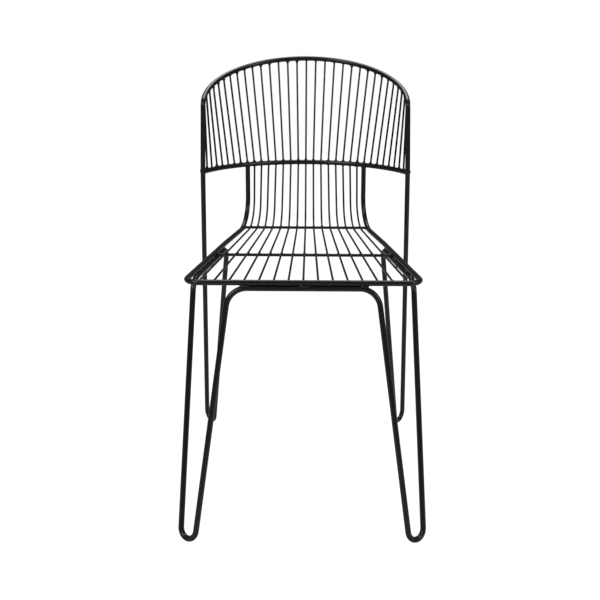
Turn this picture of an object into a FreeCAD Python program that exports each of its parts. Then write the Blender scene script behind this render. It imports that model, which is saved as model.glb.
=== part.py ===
"""Wire chair: round steel rods and wires, bent and welded, modelled rod by rod.

Millimetres, +Z up. The sitter faces -Y, the floor is z = 0 and the chair is the
same on both sides of x = 0. Widths are between centrelines, and depths, which
are y while the pieces are made, run back from the front rail's centreline. The
last step brings the origin to the middle of the chair's length.
"""

import FreeCAD, Part
import math
import os

from FreeCAD import Vector

# Stock
ROD = 10.0  # frame rod
CROSS_ROD = 6.0
WIRE = 4.0  # ribs and back wires

# Feet
FRONT_FOOT_WIDTH = 394.6
REAR_FOOT_WIDTH = 418.0
FOOT_SPREAD = 462.8  # front feet to rear feet
FOOT_BEND = 17.2
FRONT_RAIL_SETBACK = 93.8  # front rail behind the front feet

# Seat frame
SEAT_HEIGHT = 434.0
FRONT_WIDTH = 409.4
FRONT_CORNER_BEND = 22.5
KNEE_DEPTH = 274.0  # the side rails turn in a little more from here
KNEE_WIDTH = 319.0
KNEE_BEND = 300.0
REAR_WIDTH = 252.0  # where the side rails turn up
RISE_DEPTH = 388.0  # side rails and ribs begin to turn up
RISE_BEND = 60.0  # of the ribs; the side rails turn about the same axis

# Middle back rail, a level arc from post to post
RAIL_HEIGHT = 567.0
RAIL_DEPTH = 344.0  # of its two ends
RAIL_WIDTH = 419.6
RAIL_SAG = 137.3  # its middle lies this far behind its ends

# Hoop over the back
HOOP_CORNER_HEIGHT = 710.0
HOOP_CORNER_DEPTH = 343.3
HOOP_WIDTH = 411.6
HOOP_TILT = 21.0  # degrees above level
HOOP_LEAD = 12.4  # corner to the start of the half circle
HOOP_CORNER_BEND = 17.0
POST_BEND = 600.0  # in the posts, where the middle rail meets them

# Legs under the seat
CROSSBAR_WIDTH = 255.0
CROSSBAR_BEND = 35.0
FRONT_LEG_DEPTH = 49.3  # top of the outer front leg
REAR_LEG_DEPTH = 273.0  # top of the inner rear leg
RUN_JOINT_DEPTH = 150.0  # front and rear runs meet end to end
RUN_INSET = 3.4  # of the runs from the side rails above them
LEG_TOP_BEND = 28.0

# Ribs, back wires and cross rods
SEAT_BAYS = 16
BACK_BAYS = 32
RIB_LIFT = 1.0  # rib centrelines above the seat frame's
MIDDLE_CROSS_DEPTH = 199.0
REAR_CROSS_ANGLE = 22.0  # degrees round the ribs' bend

RIB_HEIGHT = SEAT_HEIGHT + RIB_LIFT
SIDE_RISE_BEND = RISE_BEND + RIB_LIFT
RAIL_RADIUS = ((RAIL_WIDTH / 2) ** 2 + RAIL_SAG**2) / (2 * RAIL_SAG)
RAIL_HALF_ANGLE = 2 * math.atan(RAIL_SAG / (RAIL_WIDTH / 2))


def mirrored(point):
    """The same place on the other side of the chair."""
    return Vector(-point.x, point.y, point.z)


def both_sides(right_half):
    """Corners from the right end round to the left end, from those of the right half."""
    return right_half + [mirrored(point) for point in reversed(right_half)]


def bent_path(corners, bends):
    """Straight runs between the corners, with a tangent arc at each inner one."""
    edges = []
    start = corners[0]
    for before, corner, after, radius in zip(corners, corners[1:], corners[2:], bends):
        back = (before - corner).normalize()
        ahead = (after - corner).normalize()
        half_angle = back.getAngle(ahead) / 2
        arc_start = corner + back * (radius / math.tan(half_angle))
        arc_end = corner + ahead * (radius / math.tan(half_angle))
        inwards = (back + ahead).normalize()
        arc_middle = corner + inwards * (radius / math.sin(half_angle) - radius)
        if (arc_start - start).Length > 1e-3:
            edges.append(Part.makeLine(start, arc_start))
        edges.append(Part.Arc(arc_start, arc_middle, arc_end).toShape())
        start = arc_end
    edges.append(Part.makeLine(start, corners[-1]))
    return Part.Wire(edges)


def rod_along(path, diameter):
    """A round rod with this centreline."""
    first = path.OrderedEdges[0]
    start = first.valueAt(first.FirstParameter)
    heading = first.tangentAt(first.FirstParameter)
    section = Part.Wire([Part.makeCircle(diameter / 2, start, heading)])
    return path.makePipeShell([section], True, False)


def bent_rod(corners, bends, diameter):
    """A round rod bent to these centreline radii at its inner corners."""
    return rod_along(bent_path(corners, bends), diameter)


def straight_rod(start, end, diameter):
    """A round rod between two centreline points."""
    return Part.makeCylinder(diameter / 2, (end - start).Length, start, end - start)


def coped(rod, rails):
    """What is left of a rod once its ends are cut to fit against the rails."""
    return max(rod.cut(rails).Solids, key=lambda solid: solid.Volume)


def foot_corner(top_a, floor_point, top_b):
    """Where two legs' centrelines cross below the U bend that joins them on the floor."""
    normal = (top_a - floor_point).cross(top_b - floor_point).normalize()
    across = Vector(0, 0, 1).cross(normal).normalize()
    up = normal.cross(across)
    centre = floor_point + up * FOOT_BEND
    arms = sorted((top_a - centre, top_b - centre), key=across.dot)
    left_touch, right_touch = [
        math.atan2(arm.dot(up), arm.dot(across)) + side * math.acos(FOOT_BEND / arm.Length)
        for arm, side in zip(arms, (1, -1))
    ]
    half_arc = math.pi - (left_touch - right_touch) / 2
    downwards = (left_touch + right_touch) / 2 + math.pi
    heading = across * math.cos(downwards) + up * math.sin(downwards)
    return centre + heading * (FOOT_BEND / math.cos(half_arc))


def rail_point(share):
    """On the middle rail's centreline: 0 is its middle and 1 its right end."""
    angle = share * RAIL_HALF_ANGLE
    sag = RAIL_SAG - RAIL_RADIUS * (1 - math.cos(angle))
    return Vector(RAIL_RADIUS * math.sin(angle), RAIL_DEPTH + sag, RAIL_HEIGHT)


def hoop_point(across, back):
    """In the hoop's tilted plane, across from the middle and back from its corners."""
    tilt = math.radians(HOOP_TILT)
    rise = back * math.sin(tilt)
    depth = HOOP_CORNER_DEPTH + back * math.cos(tilt)
    return Vector(across, depth, HOOP_CORNER_HEIGHT + rise)


def hoop_wire_top(index):
    """Where a back wire meets the hoop, which the wires divide evenly."""
    radius = HOOP_WIDTH / 2
    length = HOOP_LEAD + radius * math.pi / 2
    angle = length / radius * 2 * index / BACK_BAYS
    return hoop_point(radius * math.sin(angle), HOOP_LEAD + radius * math.cos(angle))


def run_point(depth):
    """On the run under the right side rail, resting against the rail from below."""
    front = Vector(FRONT_WIDTH / 2, 0, SEAT_HEIGHT)
    knee = Vector(KNEE_WIDTH / 2, KNEE_DEPTH, SEAT_HEIGHT)
    along = knee - front
    inboard = Vector(-along.y, along.x, 0).normalize()
    drop = math.sqrt(ROD**2 - RUN_INSET**2)
    return front + along * (depth / KNEE_DEPTH) + inboard * RUN_INSET - Vector(0, 0, drop)


def seat_frame():
    """Front rail and both side rails, one rod, turned up behind the seat."""
    top = rail_point(8 / SEAT_BAYS)
    rise = Vector(REAR_WIDTH / 2, RISE_DEPTH + SIDE_RISE_BEND, SEAT_HEIGHT)
    knee = Vector(KNEE_WIDTH / 2, KNEE_DEPTH, SEAT_HEIGHT)
    front = Vector(FRONT_WIDTH / 2, 0, SEAT_HEIGHT)
    bends = [SIDE_RISE_BEND, KNEE_BEND, FRONT_CORNER_BEND]
    return bent_rod(both_sides([top, rise, knee, front]), bends + bends[::-1], ROD)


def front_leg_frame():
    """Bar under the front rail, both front hairpin legs and their runs, one rod."""
    bar = Vector(CROSSBAR_WIDTH / 2, 0, SEAT_HEIGHT - ROD)
    outer_top = run_point(FRONT_LEG_DEPTH)
    floor = Vector(FRONT_FOOT_WIDTH / 2, -FRONT_RAIL_SETBACK, ROD / 2)
    foot = foot_corner(bar, floor, outer_top)
    run_end = run_point(RUN_JOINT_DEPTH)
    bends = [LEG_TOP_BEND, FOOT_BEND, CROSSBAR_BEND]
    return bent_rod(both_sides([run_end, outer_top, foot, bar]), bends + bends[::-1], ROD)


def rear_leg_hoop_frame():
    """Rear runs, rear hairpin legs, posts and the hoop over the back, one rod."""
    run_end = run_point(RUN_JOINT_DEPTH)
    inner_top = run_point(REAR_LEG_DEPTH)
    floor = Vector(REAR_FOOT_WIDTH / 2, FOOT_SPREAD - FRONT_RAIL_SETBACK, ROD / 2)
    post = rail_point(1)
    foot = foot_corner(inner_top, floor, post)
    corner = hoop_point(HOOP_WIDTH / 2, 0)
    crown = hoop_point(HOOP_WIDTH / 2, HOOP_LEAD + HOOP_WIDTH / 2)
    right = [run_end, inner_top, foot, post, corner, crown]
    bends = [LEG_TOP_BEND, FOOT_BEND, POST_BEND, HOOP_CORNER_BEND, HOOP_WIDTH / 2]
    return bent_rod(both_sides(right), bends + bends[::-1], ROD)


def middle_back_rail(posts):
    """The level arc across the back, its ends fitted to the posts."""
    arc = Part.Arc(rail_point(-1), rail_point(0), rail_point(1)).toShape()
    return coped(rod_along(Part.Wire([arc]), ROD), posts)


def rib_path(index):
    """A seat rib's centreline, from the front rail's to the middle rail's."""
    front = Vector(index * FRONT_WIDTH / SEAT_BAYS, 0, RIB_HEIGHT)
    top = rail_point(index / SEAT_BAYS)
    ahead = top - front
    slant = math.hypot(ahead.x, ahead.y) / ahead.y
    length = (ahead.y - RISE_DEPTH) * slant
    height = RAIL_HEIGHT - RIB_HEIGHT
    spare = height - 2 * RISE_BEND
    turn = (math.sqrt(length**2 + spare * height) - length) / spare
    share = (RISE_DEPTH + RISE_BEND * turn / slant) / ahead.y
    corner = front + Vector(ahead.x * share, ahead.y * share, 0)
    return bent_path([front, corner, top], [RISE_BEND])


def seat_rib(index, rails):
    """A wire from the front rail over the cross rods and up to the middle rail."""
    return coped(rod_along(rib_path(index), WIRE), rails)


def back_wire(index, rails):
    """A straight wire from the middle rail to the hoop."""
    start = rail_point(2 * index / BACK_BAYS)
    return coped(straight_rod(start, hoop_wire_top(index), WIRE), rails)


def cross_rod(half_width, depth, height, frames):
    """A rod under the ribs, its ends fitted to the frame."""
    end = Vector(half_width, depth, height)
    return coped(straight_rod(mirrored(end), end, CROSS_ROD), frames)


def middle_cross_rod(frames):
    """The rod under the flat of the ribs, its ends between side rails and runs."""
    height = RIB_HEIGHT - (WIRE + CROSS_ROD) / 2
    return cross_rod(run_point(MIDDLE_CROSS_DEPTH).x, MIDDLE_CROSS_DEPTH, height, frames)


def rear_cross_rod(frames):
    """The rod across the back of the seat, outside the bend of the ribs."""
    angle = math.radians(REAR_CROSS_ANGLE)
    reach = RISE_BEND + (WIRE + CROSS_ROD) / 2
    depth = RISE_DEPTH + reach * math.sin(angle)
    height = RIB_HEIGHT + RISE_BEND - reach * math.cos(angle)
    taper = (depth - KNEE_DEPTH) / (RISE_DEPTH + SIDE_RISE_BEND - KNEE_DEPTH)
    width = KNEE_WIDTH - (KNEE_WIDTH - REAR_WIDTH) * taper
    return cross_rod(width / 2, depth, height, frames)


def build():
    """Every piece of the chair, by name."""
    seat = seat_frame()
    front_legs = front_leg_frame()
    rear_legs = rear_leg_hoop_frame()
    rail = middle_back_rail(rear_legs)
    parts = {
        "front_leg_frame": front_legs,
        "rear_leg_and_hoop_frame": rear_legs,
        "middle_back_rail": rail,
        "seat_frame": coped(seat, rail),
        "seat_cross_rod_middle": middle_cross_rod([seat, rear_legs]),
        "seat_cross_rod_rear": rear_cross_rod([seat]),
    }
    ribs = SEAT_BAYS // 2 - 1
    for index in range(-ribs, ribs + 1):
        parts[f"seat_rib_{index + ribs + 1:02d}"] = seat_rib(index, [seat, rail])
    wires = BACK_BAYS // 2 - 1
    for index in range(-wires, wires + 1):
        name = f"back_wire_{index + wires + 1:02d}"
        parts[name] = back_wire(index, [rail, rear_legs])
    return parts


def centre(parts):
    """Bring the origin to the floor under the middle of the chair's length."""
    box = Part.makeCompound(list(parts.values())).optimalBoundingBox()
    for shape in parts.values():
        shape.translate(Vector(0, -box.Center.y, 0))


os.makedirs("parts", exist_ok=True)
chair = build()
centre(chair)
for name, shape in chair.items():
    if len(shape.Solids) != 1 or not shape.isValid():
        raise ValueError(f"{name} is not one sound solid")
    shape.Solids[0].exportStep(f"parts/{name}.step")
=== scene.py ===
"""Wire chair: powder-coated steel rods, their welds, a pale floor and the camera."""

import logging
import math
from dataclasses import dataclass, field
from enum import Enum, IntEnum

import bpy
from mathutils import Matrix, Vector


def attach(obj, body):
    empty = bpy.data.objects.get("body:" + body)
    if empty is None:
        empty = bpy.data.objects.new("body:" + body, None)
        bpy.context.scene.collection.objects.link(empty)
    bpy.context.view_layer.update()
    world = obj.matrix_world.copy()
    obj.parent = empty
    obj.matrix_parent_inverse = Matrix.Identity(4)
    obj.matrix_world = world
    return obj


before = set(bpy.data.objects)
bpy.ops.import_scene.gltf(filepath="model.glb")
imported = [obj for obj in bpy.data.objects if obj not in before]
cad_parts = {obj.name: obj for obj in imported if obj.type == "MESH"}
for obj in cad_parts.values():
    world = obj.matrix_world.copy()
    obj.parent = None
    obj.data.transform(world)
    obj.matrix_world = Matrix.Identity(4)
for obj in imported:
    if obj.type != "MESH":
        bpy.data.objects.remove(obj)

LOG = logging.getLogger("wire_chair")
MILLIMETRE = 0.001
BODY = "root"
ACROSS = Vector((1.0, 0.0, 0.0))
NOISE_MIDDLE = 0.5


class Stock(Enum):
    """Diameters of the round stock, in metres."""

    FRAME_ROD = 0.010
    CROSS_ROD = 0.006
    WIRE = 0.004

    @property
    def radius(self) -> float:
        """Half the diameter."""
        return self.value / 2


class Axis(IntEnum):
    """The axes of the shared frame, as indices into a vector."""

    WIDTH = 0
    DEPTH = 1
    HEIGHT = 2


class Tree:
    """A node tree, with short ways to add nodes and links."""

    def __init__(self, tree: bpy.types.NodeTree) -> None:
        """Keep the tree.

        Args:
            tree: The shader or geometry node tree to build in.
        """
        self.tree = tree

    def add(self, kind: str, **settings: object) -> bpy.types.Node:
        """Add a node.

        Args:
            kind: The node's type name.
            **settings: Properties of the node, by name.

        Returns:
            The new node.
        """
        node = self.tree.nodes.new(kind)
        for name, value in settings.items():
            setattr(node, name, value)
        return node

    def join(self, source: bpy.types.NodeSocket, target: bpy.types.NodeSocket) -> None:
        """Link an output to an input.

        Args:
            source: The output.
            target: The input.
        """
        self.tree.links.new(source, target)

    def maths(self, operation: str, *inputs: object) -> bpy.types.NodeSocket:
        """Add a Math node.

        Args:
            operation: The operation's name.
            *inputs: A socket or a number for each input.

        Returns:
            The result's socket.
        """
        node = self.add("ShaderNodeMath", operation=operation)
        for target, value in zip(node.inputs, inputs):
            if isinstance(value, bpy.types.NodeSocket):
                self.join(value, target)
            else:
                target.default_value = value
        return node.outputs[0]

    def noise(
        self, place: bpy.types.NodeSocket, size: float, detail: float
    ) -> bpy.types.NodeSocket:
        """Add a noise texture.

        Args:
            place: The coordinates.
            size: The size of one bump, in metres.
            detail: The noise's detail.

        Returns:
            The noise's value.
        """
        node = self.add("ShaderNodeTexNoise")
        node.inputs["Scale"].default_value = 1 / size
        node.inputs["Detail"].default_value = detail
        self.join(place, node.inputs["Vector"])
        return node.outputs[0]


@dataclass(frozen=True)
class PowderCoat:
    """Satin black powder coat: a fine orange peel over a very dark grey."""

    name: str = "satin_black_powder_coat"
    dark: tuple[float, float, float] = (0.0055, 0.0048, 0.0066)
    light: tuple[float, float, float] = (0.0130, 0.0115, 0.0155)
    cloud_size: float = 60.0 * MILLIMETRE
    cloud_detail: float = 3.0
    gloss_low: float = 0.20
    gloss_high: float = 0.30
    gloss_size: float = 6.6 * MILLIMETRE
    gloss_detail: float = 2.0
    peel_size: float = 1.1 * MILLIMETRE
    peel_detail: float = 1.0
    peel_height: float = 0.03 * MILLIMETRE
    peel_strength: float = 0.35
    refraction: float = 1.5

    def material(self) -> bpy.types.Material:
        """Build the material.

        Returns:
            The finished material.
        """
        material = bpy.data.materials.new(self.name)
        material.use_nodes = True
        tree = Tree(material.node_tree)
        shader = material.node_tree.nodes["Principled BSDF"]
        place = tree.add("ShaderNodeTexCoord").outputs["Object"]
        colour = tree.add("ShaderNodeMix", data_type="RGBA")
        colour.inputs[6].default_value = (*self.dark, 1.0)
        colour.inputs[7].default_value = (*self.light, 1.0)
        tree.join(tree.noise(place, self.cloud_size, self.cloud_detail), colour.inputs[0])
        tree.join(colour.outputs[2], shader.inputs["Base Color"])
        gloss = tree.add("ShaderNodeMapRange")
        gloss.inputs["To Min"].default_value = self.gloss_low
        gloss.inputs["To Max"].default_value = self.gloss_high
        tree.join(tree.noise(place, self.gloss_size, self.gloss_detail), gloss.inputs["Value"])
        tree.join(gloss.outputs["Result"], shader.inputs["Roughness"])
        bump = tree.add("ShaderNodeBump")
        bump.inputs["Strength"].default_value = self.peel_strength
        bump.inputs["Distance"].default_value = self.peel_height
        tree.join(tree.noise(place, self.peel_size, self.peel_detail), bump.inputs["Height"])
        tree.join(bump.outputs["Normal"], shader.inputs["Normal"])
        shader.inputs["IOR"].default_value = self.refraction
        return material


@dataclass(frozen=True)
class PaleGround:
    """A plain pale floor, white to the camera but for part of the shadow."""

    name: str = "pale_ground"
    colour: tuple[float, float, float] = (0.70, 0.70, 0.70)
    white_level: float = 1.24
    shade_share: float = 0.20

    def material(self) -> bpy.types.Material:
        """Build the material.

        Returns:
            The finished material.
        """
        material = bpy.data.materials.new(self.name)
        material.use_nodes = True
        material.node_tree.nodes.clear()
        tree = Tree(material.node_tree)
        ground = tree.add("ShaderNodeBsdfDiffuse")
        ground.inputs["Color"].default_value = (*self.colour, 1.0)
        white = tree.add("ShaderNodeEmission")
        white.inputs["Strength"].default_value = self.white_level
        rays = tree.add("ShaderNodeLightPath")
        share = tree.maths("MULTIPLY", rays.outputs["Is Camera Ray"], 1 - self.shade_share)
        mix = tree.add("ShaderNodeMixShader")
        tree.join(share, mix.inputs[0])
        tree.join(ground.outputs[0], mix.inputs[1])
        tree.join(white.outputs[0], mix.inputs[2])
        output = tree.add("ShaderNodeOutputMaterial")
        tree.join(mix.outputs[0], output.inputs["Surface"])
        return material


@dataclass
class Coating:
    """The powder coat on the frame's own rods and wires."""

    finish: PowderCoat = field(default_factory=PowderCoat)

    def dress(self) -> bpy.types.Material:
        """Give every frame piece the powder coat.

        Returns:
            The material.
        """
        material = self.finish.material()
        for name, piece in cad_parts.items():
            piece.data.materials.clear()
            piece.data.materials.append(material)
            LOG.info("%s: %s", name, material.name)
        return material


class Rod:
    """A frame piece's mesh, read for the places where it is welded."""

    def __init__(self, name: str) -> None:
        """Read the piece.

        Args:
            name: The piece's node.
        """
        self.points = [vertex.co.copy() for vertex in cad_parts[name].data.vertices]

    @staticmethod
    def middle(points: list[Vector]) -> Vector:
        """Give the middle of some points' box.

        Args:
            points: The points.

        Returns:
            The middle of their lowest and highest corners.
        """
        low = Vector(min(point[axis] for point in points) for axis in Axis)
        high = Vector(max(point[axis] for point in points) for axis in Axis)
        return (low + high) / 2

    def centre(self) -> Vector:
        """Give the middle of the whole piece's box."""
        return self.middle(self.points)

    def on_side(self, side: int) -> list[Vector]:
        """Give the points on one side of the chair, 1 or -1, or all of them for 0."""
        return [point for point in self.points if point.x * side >= 0]

    def end(self, axis: Axis, sign: int, depth: float, side: int = 0) -> Vector:
        """Find the middle of the piece's end.

        Args:
            axis: The axis along which the end lies furthest out.
            sign: 1 for the high end, -1 for the low one.
            depth: How far back from the tip to look, in metres.
            side: 1 or -1 to look at one side of the chair only.

        Returns:
            The middle of the vertices near that end.
        """
        points = self.on_side(side)
        tip = max(point[axis] * sign for point in points)
        return self.middle([point for point in points if point[axis] * sign > tip - depth])

    def ring(self, axis: Axis, sign: int, limit: float, depth: float, side: int = 0) -> Vector:
        """Find the middle of the first ring of vertices past a limit.

        Args:
            axis: The axis to look along.
            sign: 1 to look upwards along it, -1 to look downwards.
            limit: Where to start, in metres.
            depth: How deep the ring is along the axis.
            side: 1 or -1 to look at one side of the chair only.

        Returns:
            The middle of that ring.
        """
        points = [point for point in self.on_side(side) if (point[axis] - limit) * sign > 0]
        first = min(point[axis] * sign for point in points)
        return self.middle([point for point in points if point[axis] * sign < first + depth])


@dataclass(frozen=True)
class Weld:
    """One weld: where it sits, which way it points and how large it is."""

    place: Vector
    axis: Vector
    size: tuple[float, float, float] = (1.0, 1.0, 1.0)


@dataclass
class Welds:
    """Many like welds as one mesh, made by one Geometry Nodes tree."""

    name: str
    unevenness: float = 0.22
    seed: int = 7
    places: list[Weld] = field(default_factory=list)

    def add(self, place: Vector, axis: Vector, *size: float) -> None:
        """Add one weld.

        Args:
            place: Where it sits.
            axis: The way it points.
            *size: Its size along its own axes, where it isn't 1.
        """
        self.places.append(Weld(place, axis.normalized(), size or (1.0, 1.0, 1.0)))

    def values(self) -> dict[str, object]:
        """Give the tree's inputs by name."""
        return {"Unevenness": self.unevenness, "Seed": self.seed}

    def shape(self, tree: Tree, given: bpy.types.NodeOutputs) -> bpy.types.NodeSocket:
        """Build the mesh of one weld.

        Args:
            tree: The tree to build in.
            given: The tree's inputs.

        Returns:
            The mesh's socket.
        """
        raise NotImplementedError

    def tree(self, finish: bpy.types.Material) -> bpy.types.NodeTree:
        """Build the tree that puts a weld on each point, turned and a little uneven.

        Args:
            finish: The material of the welds.

        Returns:
            The node tree.
        """
        group = bpy.data.node_groups.new(self.name, "GeometryNodeTree")
        ports = group.interface
        ports.new_socket("Geometry", in_out="INPUT", socket_type="NodeSocketGeometry")
        for label, value in self.values().items():
            kind = "NodeSocketInt" if isinstance(value, int) else "NodeSocketFloat"
            ports.new_socket(label, in_out="INPUT", socket_type=kind)
        ports.new_socket("Geometry", in_out="OUTPUT", socket_type="NodeSocketGeometry")
        tree = Tree(group)
        given = tree.add("NodeGroupInput").outputs
        axis = tree.add("GeometryNodeInputNamedAttribute", data_type="FLOAT_VECTOR")
        axis.inputs["Name"].default_value = "axis"
        turn = tree.add("FunctionNodeAlignRotationToVector", axis="Z")
        tree.join(axis.outputs[0], turn.inputs["Vector"])
        placed = tree.add("GeometryNodeInstanceOnPoints")
        tree.join(given["Geometry"], placed.inputs["Points"])
        tree.join(self.shape(tree, given), placed.inputs["Instance"])
        tree.join(turn.outputs[0], placed.inputs["Rotation"])
        tree.join(self.scale(tree, given), placed.inputs["Scale"])
        smooth = tree.add("GeometryNodeSetShadeSmooth")
        tree.join(placed.outputs[0], smooth.inputs[0])
        real = tree.add("GeometryNodeRealizeInstances")
        tree.join(smooth.outputs[0], real.inputs[0])
        coat = tree.add("GeometryNodeSetMaterial")
        coat.inputs["Material"].default_value = finish
        tree.join(real.outputs[0], coat.inputs["Geometry"])
        tree.join(coat.outputs[0], tree.add("NodeGroupOutput").inputs[0])
        return group

    def scale(self, tree: Tree, given: bpy.types.NodeOutputs) -> bpy.types.NodeSocket:
        """Give each weld's own size, a little larger or smaller by chance.

        Args:
            tree: The tree to build in.
            given: The tree's inputs.

        Returns:
            The scale's socket.
        """
        size = tree.add("GeometryNodeInputNamedAttribute", data_type="FLOAT_VECTOR")
        size.inputs["Name"].default_value = "size"
        chance = tree.add("FunctionNodeRandomValue", data_type="FLOAT")
        tree.join(tree.maths("SUBTRACT", 1.0, given["Unevenness"]), chance.inputs[2])
        tree.join(tree.maths("ADD", 1.0, given["Unevenness"]), chance.inputs[3])
        tree.join(given["Seed"], chance.inputs["Seed"])
        scale = tree.add("ShaderNodeVectorMath", operation="SCALE")
        tree.join(size.outputs[0], scale.inputs[0])
        tree.join(chance.outputs[1], scale.inputs["Scale"])
        return scale.outputs[0]

    def build(self, finish: bpy.types.Material) -> None:
        """Make the welds' mesh and fix it to the chair.

        Args:
            finish: The material of the welds.
        """
        mesh = bpy.data.meshes.new(self.name + "_points")
        mesh.from_pydata([weld.place for weld in self.places], [], [])
        for label in ("axis", "size"):
            attribute = mesh.attributes.new(label, "FLOAT_VECTOR", "POINT")
            flat = [number for weld in self.places for number in getattr(weld, label)]
            attribute.data.foreach_set("vector", flat)
        piece = bpy.data.objects.new(self.name, mesh)
        bpy.context.scene.collection.objects.link(piece)
        modifier = piece.modifiers.new("welds", "NODES")
        modifier.node_group = self.tree(finish)
        for item in modifier.node_group.interface.items_tree:
            if item.in_out == "INPUT" and item.name in self.values():
                modifier[item.identifier] = self.values()[item.name]
        shown = piece.evaluated_get(bpy.context.evaluated_depsgraph_get())
        result = bpy.data.meshes.new_from_object(shown)
        piece.modifiers.clear()
        piece.data = result
        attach(piece, BODY)
        LOG.info("%s: %d welds", self.name, len(self.places))


@dataclass
class Collars(Welds):
    """Small flared fillets round rods that end on other rods."""

    radius: float = Stock.WIRE.radius
    height: float = 4.0 * MILLIMETRE
    flare: float = 2.4 * MILLIMETRE
    curve: float = 2.4
    clearance: float = 0.02
    sides: int = 14
    steps: int = 5

    def values(self) -> dict[str, object]:
        """Give the tree's inputs by name."""
        sizes = {"Radius": self.radius, "Height": self.height, "Flare": self.flare}
        return {**sizes, **super().values()}

    def shape(self, tree: Tree, given: bpy.types.NodeOutputs) -> bpy.types.NodeSocket:
        """Build a short pipe that widens towards its foot.

        Args:
            tree: The tree to build in.
            given: The tree's inputs.

        Returns:
            The mesh's socket.
        """
        pipe = tree.add("GeometryNodeMeshCone")
        pipe.inputs["Vertices"].default_value = self.sides
        pipe.inputs["Side Segments"].default_value = self.steps
        tree.join(given["Radius"], pipe.inputs["Radius Top"])
        tree.join(given["Radius"], pipe.inputs["Radius Bottom"])
        tree.join(given["Height"], pipe.inputs["Depth"])
        apart = tree.add("ShaderNodeSeparateXYZ")
        tree.join(tree.add("GeometryNodeInputPosition").outputs[0], apart.inputs[0])
        share = tree.maths("DIVIDE", apart.outputs["Z"], given["Height"])
        rest = tree.maths("SUBTRACT", 1.0, share)
        widening = tree.maths("MULTIPLY", tree.maths("POWER", rest, self.curve), given["Flare"])
        wider = tree.maths("DIVIDE", widening, given["Radius"])
        growth = tree.maths("ADD", 1.0 + self.clearance, wider)
        spread = tree.add("ShaderNodeCombineXYZ")
        tree.join(tree.maths("MULTIPLY", apart.outputs["X"], growth), spread.inputs["X"])
        tree.join(tree.maths("MULTIPLY", apart.outputs["Y"], growth), spread.inputs["Y"])
        tree.join(apart.outputs["Z"], spread.inputs["Z"])
        shaped = tree.add("GeometryNodeSetPosition")
        tree.join(pipe.outputs["Mesh"], shaped.inputs["Geometry"])
        tree.join(spread.outputs[0], shaped.inputs["Position"])
        return shaped.outputs[0]


@dataclass
class Beads(Welds):
    """Lumpy beads in the grooves between rods that lie against each other."""

    radius: float = 1.0 * MILLIMETRE
    lump: float = 0.25
    lump_detail: float = 1.0
    segments: int = 14
    rings: int = 9

    def values(self) -> dict[str, object]:
        """Give the tree's inputs by name."""
        return {"Radius": self.radius, "Lump": self.lump, **super().values()}

    def shape(self, tree: Tree, given: bpy.types.NodeOutputs) -> bpy.types.NodeSocket:
        """Build a ball with an uneven surface.

        Args:
            tree: The tree to build in.
            given: The tree's inputs.

        Returns:
            The mesh's socket.
        """
        ball = tree.add("GeometryNodeMeshUVSphere")
        ball.inputs["Segments"].default_value = self.segments
        ball.inputs["Rings"].default_value = self.rings
        tree.join(given["Radius"], ball.inputs["Radius"])
        place = tree.add("GeometryNodeInputPosition").outputs[0]
        wave = tree.maths("SUBTRACT", tree.noise(place, self.radius, self.lump_detail), NOISE_MIDDLE)
        growth = tree.maths("ADD", 1.0, tree.maths("MULTIPLY", wave, given["Lump"]))
        spread = tree.add("ShaderNodeVectorMath", operation="SCALE")
        tree.join(place, spread.inputs[0])
        tree.join(growth, spread.inputs["Scale"])
        shaped = tree.add("GeometryNodeSetPosition")
        tree.join(ball.outputs["Mesh"], shaped.inputs["Geometry"])
        tree.join(spread.outputs[0], shaped.inputs["Position"])
        return shaped.outputs[0]


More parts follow.
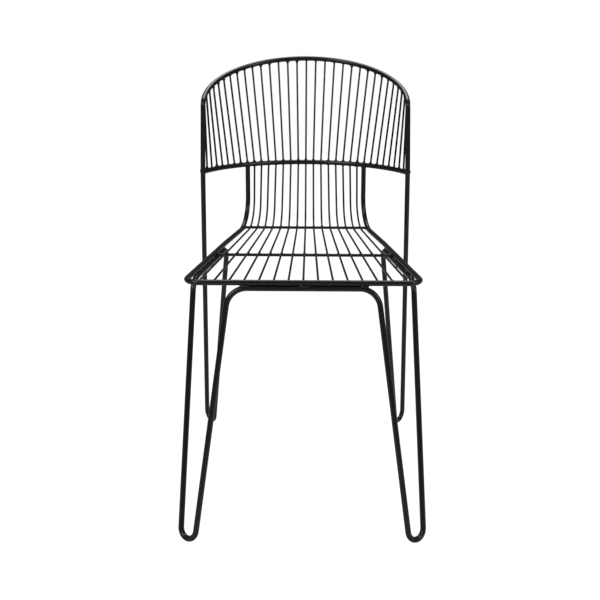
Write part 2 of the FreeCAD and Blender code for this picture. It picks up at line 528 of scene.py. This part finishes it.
@dataclass
class WireWelds:
    """The collars at the ends of ribs and back wires, and the beads under the ribs."""

    back_wire_end: float = 12 * MILLIMETRE
    rib_end: float = 6 * MILLIMETRE
    rib_rise: float = 45 * MILLIMETRE
    rib_ring: float = 4 * MILLIMETRE
    front_collar: tuple[float, float, float] = (0.7, 0.7, 0.8)
    crossing_bead: tuple[float, float, float] = (2.7, 2.1, 3.6)
    middle_climb: float = 0.0
    rear_climb: float = 22.0

    def back_wires(self, collars: Collars) -> None:
        """Add both ends of every back wire.

        Args:
            collars: The collars to add to.
        """
        for name in sorted(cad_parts):
            if name.startswith("back_wire"):
                wire = Rod(name)
                low = wire.end(Axis.HEIGHT, -1, self.back_wire_end)
                high = wire.end(Axis.HEIGHT, 1, self.back_wire_end)
                collars.add(low, high - low)
                collars.add(high, low - high)

    def seat_ribs(self, collars: Collars, beads: Beads) -> None:
        """Add both ends of every rib, and its crossings with the cross rods.

        Args:
            collars: The collars to add to.
            beads: The beads to add to.
        """
        middle_cross = Rod("seat_cross_rod_middle").centre()
        rear_cross = Rod("seat_cross_rod_rear").centre()
        for name in sorted(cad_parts):
            if name.startswith("seat_rib"):
                rib = Rod(name)
                front = rib.end(Axis.DEPTH, -1, self.rib_end)
                top = rib.end(Axis.HEIGHT, 1, self.rib_end)
                ahead = Vector((top.x - front.x, top.y - front.y, 0.0))
                slant = Vector((ahead.x / ahead.y, 1.0, 0.0))
                below = rib.ring(Axis.HEIGHT, 1, top.z - self.rib_rise, self.rib_ring)
                collars.add(front, slant, *self.front_collar)
                collars.add(top, below - top)
                self.crossing(beads, front, slant, middle_cross, self.middle_climb)
                self.crossing(beads, front, slant, rear_cross, self.rear_climb)

    def crossing(
        self, beads: Beads, front: Vector, slant: Vector, cross: Vector, climb: float
    ) -> None:
        """Add the bead between a rib and a cross rod.

        Args:
            beads: The beads to add to.
            front: The rib's front end.
            slant: The rib's heading over the floor, 1 long in depth.
            cross: The cross rod's middle.
            climb: The rib's climb there, in degrees.
        """
        angle = math.radians(climb)
        reach = Stock.CROSS_ROD.radius
        place = front + slant * (cross.y - front.y)
        place.y = cross.y - reach * math.sin(angle)
        place.z = cross.z + reach * math.cos(angle)
        heading = Vector((slant.x * math.cos(angle), math.cos(angle), math.sin(angle)))
        beads.add(place, heading, *self.crossing_bead)


@dataclass
class RodWelds:
    """The collars at the ends of the rails, and the beads along the frame rods."""

    rail_end: float = 5 * MILLIMETRE
    side_rise: float = 70 * MILLIMETRE
    side_ring: float = 6 * MILLIMETRE
    rail_gap: float = 20 * MILLIMETRE
    rail_ring: float = 8 * MILLIMETRE
    cross_end: float = 3 * MILLIMETRE
    cross_bead: tuple[float, float, float] = (4.4, 4.4, 3.4)
    bar_spots: tuple[float, ...] = (-100 * MILLIMETRE, 2 * MILLIMETRE, 105 * MILLIMETRE)
    bar_reach: float = 3.6 * MILLIMETRE
    bar_bead: tuple[float, float, float] = (2.4, 2.4, 8.0)
    run_end: float = 3 * MILLIMETRE
    run_gap: float = 20 * MILLIMETRE
    run_spots: tuple[float, ...] = (-58 * MILLIMETRE, 22 * MILLIMETRE, 100 * MILLIMETRE)
    run_inset: float = 1.3 * MILLIMETRE
    run_lift: float = 5.8 * MILLIMETRE
    run_bead: tuple[float, float, float] = (1.9, 1.9, 7.5)
    joint_bead: tuple[float, float, float] = (5.2, 5.2, 1.6)

    def rail_ends(self, collars: Collars, beads: Beads) -> None:
        """Add the ends of rails and cross rods, on both sides.

        Args:
            collars: The collars to add to.
            beads: The beads to add to.
        """
        seat = Rod("seat_frame")
        rail = Rod("middle_back_rail")
        crosses = (Rod("seat_cross_rod_middle"), Rod("seat_cross_rod_rear"))
        for side in (1, -1):
            top = seat.end(Axis.HEIGHT, 1, self.rail_end, side)
            below = seat.ring(Axis.HEIGHT, 1, top.z - self.side_rise, self.side_ring, side)
            collars.add(top, below - top)
            tip = rail.end(Axis.WIDTH, side, self.rail_end, side)
            limit = tip.x - side * self.rail_gap
            inner = rail.ring(Axis.WIDTH, -side, limit, self.rail_ring, side)
            collars.add(tip, inner - tip)
            for cross in crosses:
                end = cross.end(Axis.WIDTH, side, self.cross_end, side)
                beads.add(end, ACROSS, *self.cross_bead)

    def under_front_rail(self, beads: Beads) -> None:
        """Add the beads on both sides of the groove over the bar.

        Args:
            beads: The beads to add to.
        """
        rail = Rod("seat_frame").end(Axis.DEPTH, -1, Stock.FRAME_ROD.value)
        groove = rail.z - Stock.FRAME_ROD.radius
        for spot in self.bar_spots:
            for face in (-1, 1):
                place = Vector((spot, rail.y + face * self.bar_reach, groove))
                beads.add(place, ACROSS, *self.bar_bead)

    def along_runs(self, beads: Beads) -> None:
        """Add the beads between runs and side rails, and those at the butt joints.

        Args:
            beads: The beads to add to.
        """
        legs = Rod("front_leg_frame")
        for side in (1, -1):
            joint = legs.end(Axis.DEPTH, 1, self.run_end, side)
            start = legs.ring(Axis.DEPTH, -1, joint.y - self.run_gap, self.run_end, side)
            along = Vector((joint.x - start.x, joint.y - start.y, 0.0)).normalized()
            inboard = Vector((-side * abs(along.y), -abs(along.x), 0.0))
            beads.add(joint, along, *self.joint_bead)
            for spot in self.run_spots:
                place = joint + along * spot + inboard * self.run_inset
                place.z += self.run_lift
                beads.add(place, along, *self.run_bead)


@dataclass
class Welding:
    """All the chair's welds."""

    wires: WireWelds = field(default_factory=WireWelds)
    rods: RodWelds = field(default_factory=RodWelds)

    def build(self, finish: bpy.types.Material) -> None:
        """Find all the welds and make them.

        Args:
            finish: The material of the welds.
        """
        wire_collars = Collars("wire_weld_collars")
        rod_collars = Collars(
            "rod_weld_collars",
            seed=3,
            unevenness=0.06,
            radius=Stock.FRAME_ROD.radius,
            height=4.5 * MILLIMETRE,
            flare=1.8 * MILLIMETRE,
            sides=28,
        )
        beads = Beads("weld_beads", seed=11)
        self.wires.back_wires(wire_collars)
        self.wires.seat_ribs(wire_collars, beads)
        self.rods.rail_ends(rod_collars, beads)
        self.rods.under_front_rail(beads)
        self.rods.along_runs(beads)
        for welds in (wire_collars, rod_collars, beads):
            welds.build(finish)


@dataclass(frozen=True)
class SoftLamp:
    """A square soft lamp, aimed at the seat."""

    name: str
    place: tuple[float, float, float]
    size: float
    power: float
    aim: tuple[float, float, float] = (0.0, 0.0, 0.45)

    def hang(self) -> None:
        """Hang the lamp."""
        data = bpy.data.lights.new(self.name, "AREA")
        data.size = self.size
        data.energy = self.power
        lamp = bpy.data.objects.new(self.name, data)
        lamp.location = self.place
        heading = Vector(self.aim) - Vector(self.place)
        lamp.rotation_euler = heading.to_track_quat("-Z", "Y").to_euler()
        bpy.context.scene.collection.objects.link(lamp)
        LOG.info("%s lamp: %.0f W", self.name, self.power)


@dataclass
class Studio:
    """A pale floor, a white surround and soft lamps."""

    floor_size: float = 30.0
    world_level: float = 0.14
    ground: PaleGround = field(default_factory=PaleGround)
    lamps: tuple[SoftLamp, ...] = (
        SoftLamp("key", (-1.9, -2.2, 2.6), 1.2, 32.0),
        SoftLamp("fill", (2.4, -1.6, 1.9), 1.3, 18.0),
        SoftLamp("top", (0.0, 1.2, 2.9), 1.8, 42.0),
    )

    def build(self) -> None:
        """Build the floor, the surround and the lamps."""
        self.lay_floor()
        self.surround()
        for lamp in self.lamps:
            lamp.hang()

    def lay_floor(self) -> None:
        """Lay the floor under the feet."""
        half = self.floor_size / 2
        corners = [(-half, -half, 0), (half, -half, 0), (half, half, 0), (-half, half, 0)]
        mesh = bpy.data.meshes.new("floor")
        mesh.from_pydata(corners, [], [(0, 1, 2, 3)])
        mesh.materials.append(self.ground.material())
        floor = bpy.data.objects.new("floor", mesh)
        bpy.context.scene.collection.objects.link(floor)
        LOG.info("floor: %.0f m", self.floor_size)

    def surround(self) -> None:
        """Light the chair from all round, white to the camera."""
        world = bpy.data.worlds.new("surround")
        world.use_nodes = True
        bpy.context.scene.world = world
        tree = Tree(world.node_tree)
        sky = world.node_tree.nodes["Background"]
        rays = tree.add("ShaderNodeLightPath")
        level = tree.add("ShaderNodeMapRange")
        level.inputs["To Min"].default_value = self.world_level
        level.inputs["To Max"].default_value = 1.0
        tree.join(rays.outputs["Is Camera Ray"], level.inputs["Value"])
        tree.join(level.outputs["Result"], sky.inputs["Strength"])
        sky.inputs["Color"].default_value = (1.0, 1.0, 1.0, 1.0)


@dataclass
class PhotoCamera:
    """The camera that took the photograph, fitted to the rods' centrelines."""

    place: tuple[float, float, float] = (0.01458, -1.62593, 0.85622)
    pitch: float = 14.0
    roll: float = 0.285
    focal_pixels: float = 861.19
    centre_pixels: tuple[float, float] = (312.08, 241.56)
    image_pixels: float = 600.0
    sensor: float = 36.0
    far: float = 100.0

    def build(self) -> None:
        """Build the camera and make it the scene's."""
        data = bpy.data.cameras.new("photo_camera")
        data.sensor_width = self.sensor
        data.lens = self.focal_pixels / self.image_pixels * self.sensor
        middle = self.image_pixels / 2
        data.shift_x = (middle - self.centre_pixels[0]) / self.image_pixels
        data.shift_y = (self.centre_pixels[1] - middle) / self.image_pixels
        data.clip_end = self.far
        camera = bpy.data.objects.new("photo_camera", data)
        tilt = Matrix.Rotation(math.radians(90 - self.pitch), 4, "X")
        turn = Matrix.Rotation(math.radians(self.roll), 4, "Z")
        camera.matrix_world = Matrix.Translation(self.place) @ tilt @ turn
        bpy.context.scene.collection.objects.link(camera)
        bpy.context.scene.camera = camera
        LOG.info("camera: %.1f mm lens", data.lens)


def corners(box: tuple) -> list[list[float]]:
    """Give a box's two corners as plain lists.

    Args:
        box: The box's low and high corners.

    Returns:
        The same corners.
    """
    return [list(corner) for corner in box]


def main() -> None:
    """Dress the frame, add the welds, and build the studio and the camera."""
    logging.basicConfig(level=logging.INFO)
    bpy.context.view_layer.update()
    coat = Coating().dress()
    Welding().build(coat)
    Studio().build()
    PhotoCamera().build()
    bpy.context.scene.view_settings.view_transform = "Standard"


if __name__ == "__main__":
    main()
